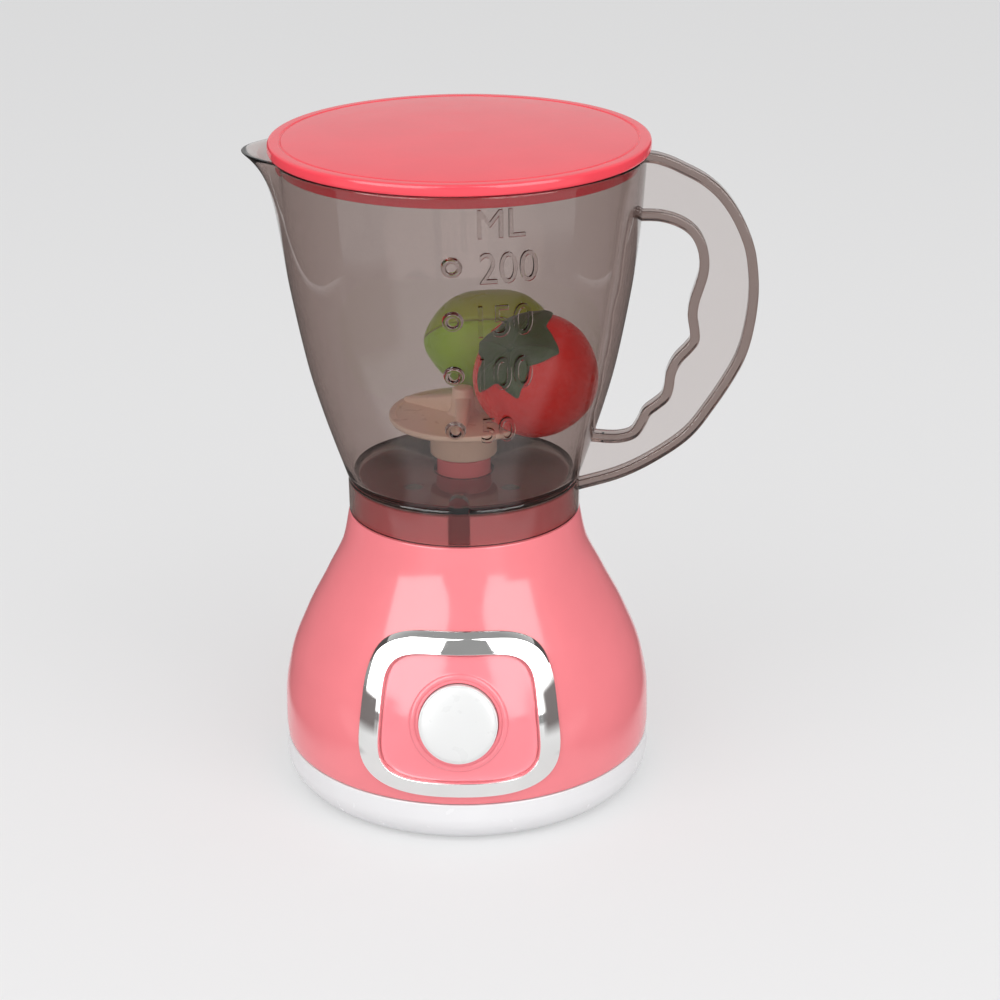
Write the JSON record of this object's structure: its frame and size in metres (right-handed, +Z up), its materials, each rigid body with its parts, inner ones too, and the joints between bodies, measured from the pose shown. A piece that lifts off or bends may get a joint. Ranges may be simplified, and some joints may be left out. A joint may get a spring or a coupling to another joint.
{
  "type": "toy blender",
  "caption": "Toy blender: a bell-shaped battery base with a push button, a smoky jar with spout and handle, a lid, a turntable and loose play fruit.",
  "frame": {"origin": "centre of the underside that the toy stands on, on the axis of the body and the jar", "axes": "+Z up along the axis of the body, the jar and the turntable; -Y to the front, where the push button is; +X to the handle"},
  "size_m": [0.1354, 0.1037, 0.1814],
  "materials": {
    "agitator": "satin moulded, cream",
    "base_pan": "satin moulded, white",
    "base_screw_1": "bright zinc",
    "base_screw_2": "bright zinc",
    "base_screw_3": "bright zinc",
    "base_screw_4": "bright zinc",
    "base_shell": "gloss moulded, coral pink",
    "battery_cell_1": "plain dark sleeve",
    "battery_cell_2": "plain dark sleeve",
    "battery_door": "satin moulded, white",
    "battery_spring_1": "bright zinc",
    "battery_spring_2": "bright zinc",
    "bezel": "plated plastic, mirror bright",
    "board_screw_1": "bright zinc",
    "board_screw_2": "bright zinc",
    "button_spring": "bright zinc",
    "circuit_board": "green solder mask",
    "contact_bridge": "bright zinc",
    "contact_minus": "bright zinc",
    "contact_plus": "bright zinc",
    "control_panel": "gloss moulded, light coral pink",
    "door_screw": "bright zinc",
    "drive_shaft": "bright zinc",
    "gearbox_cover": "satin",
    "gearbox_screw_1": "bright zinc",
    "gearbox_screw_2": "bright zinc",
    "gearbox_screw_3": "bright zinc",
    "gearbox_tray": "satin",
    "idler_axle": "bright zinc",
    "idler_gear": "satin",
    "jar": "smoky clear moulded plastic",
    "lid": "gloss moulded, coral red",
    "light_left": "clear epoxy dome",
    "light_right": "clear epoxy dome",
    "motor_can": "bright zinc",
    "motor_end_cap": "satin",
    "motor_pinion": "machined",
    "motor_shaft": "bright zinc",
    "output_gear": "satin",
    "play_lime": "gloss moulded, lime green",
    "play_tomato": "gloss moulded, red",
    "power_button": "gloss moulded, white",
    "shaft_bush": "satin",
    "switch_body": "black moulded",
    "switch_stem": "satin"
  },
  "bodies": {
    "base": {"base_pan": "base_pan", "base_screw_1": "base_screw_1", "base_screw_2": "base_screw_2", "base_screw_3": "base_screw_3", "base_screw_4": "base_screw_4", "base_shell": "base_shell", "battery_cell_1": "battery_cell_1", "battery_cell_2": "battery_cell_2", "battery_spring_1": "battery_spring_1", "battery_spring_2": "battery_spring_2", "bezel": "bezel", "board_screw_1": "board_screw_1", "board_screw_2": "board_screw_2", "button_spring": "button_spring", "circuit_board": "circuit_board", "contact_bridge": "contact_bridge", "contact_minus": "contact_minus", "contact_plus": "contact_plus", "control_panel": "control_panel", "gearbox_cover": "gearbox_cover", "gearbox_screw_1": "gearbox_screw_1", "gearbox_screw_2": "gearbox_screw_2", "gearbox_screw_3": "gearbox_screw_3", "gearbox_tray": "gearbox_tray", "idler_axle": "idler_axle", "light_left": "light_left", "light_right": "light_right", "motor_can": "motor_can", "motor_end_cap": "motor_end_cap", "shaft_bush": "shaft_bush", "switch_body": "switch_body"},
    "jar": {"jar": "jar"},
    "lid": {"lid": "lid"},
    "turntable": {"agitator": "agitator", "play_tomato": "play_tomato", "play_lime": "play_lime"},
    "drive": {"drive_shaft": "drive_shaft", "output_gear": "output_gear"},
    "idler": {"idler_gear": "idler_gear"},
    "rotor": {"motor_shaft": "motor_shaft", "motor_pinion": "motor_pinion"},
    "button": {"power_button": "power_button", "switch_stem": "switch_stem"},
    "door": {"battery_door": "battery_door", "door_screw": "door_screw"}
  },
  "joints": [
    {"name": "jar_lift", "type": "slide", "parent": "base", "child": "jar", "axis": [0, 0, 1], "range_m": [0, 0.05]},
    {"name": "lid_lift", "type": "slide", "parent": "jar", "child": "lid", "axis": [0, 0, 1], "range_m": [0, 0.04]},
    {"name": "turntable_spin", "type": "hinge", "parent": "jar", "child": "turntable", "pos_m": [0, 0, 0.092], "axis": [0, 0, 1], "continuous": true},
    {"name": "drive_spin", "type": "hinge", "parent": "base", "child": "drive", "pos_m": [0, 0, 0.0546], "axis": [0, 0, 1], "continuous": true},
    {"name": "idler_spin", "type": "hinge", "parent": "base", "child": "idler", "pos_m": [0, 0.01305, 0.0546], "axis": [0, 0, 1], "continuous": true},
    {"name": "rotor_spin", "type": "hinge", "parent": "base", "child": "rotor", "pos_m": [0, 0.0246, 0.0546], "axis": [0, 0, 1], "continuous": true},
    {"name": "button_press", "type": "slide", "parent": "base", "child": "button", "axis": [0, 0.9563, -0.2924], "range_m": [0, 0.002], "stiffness_N_per_m": 600, "springref_m": -0.0015, "deforming": ["button_spring"]},
    {"name": "door_drop", "type": "slide", "parent": "base", "child": "door", "axis": [0, 0, -1], "range_m": [0, 0.02]}
  ],
  "couplings": [
    {"joint": "drive_spin", "follows": "turntable_spin", "ratio": 1},
    {"joint": "idler_spin", "follows": "turntable_spin", "ratio": -3.3333},
    {"joint": "rotor_spin", "follows": "turntable_spin", "ratio": 12}
  ]
}
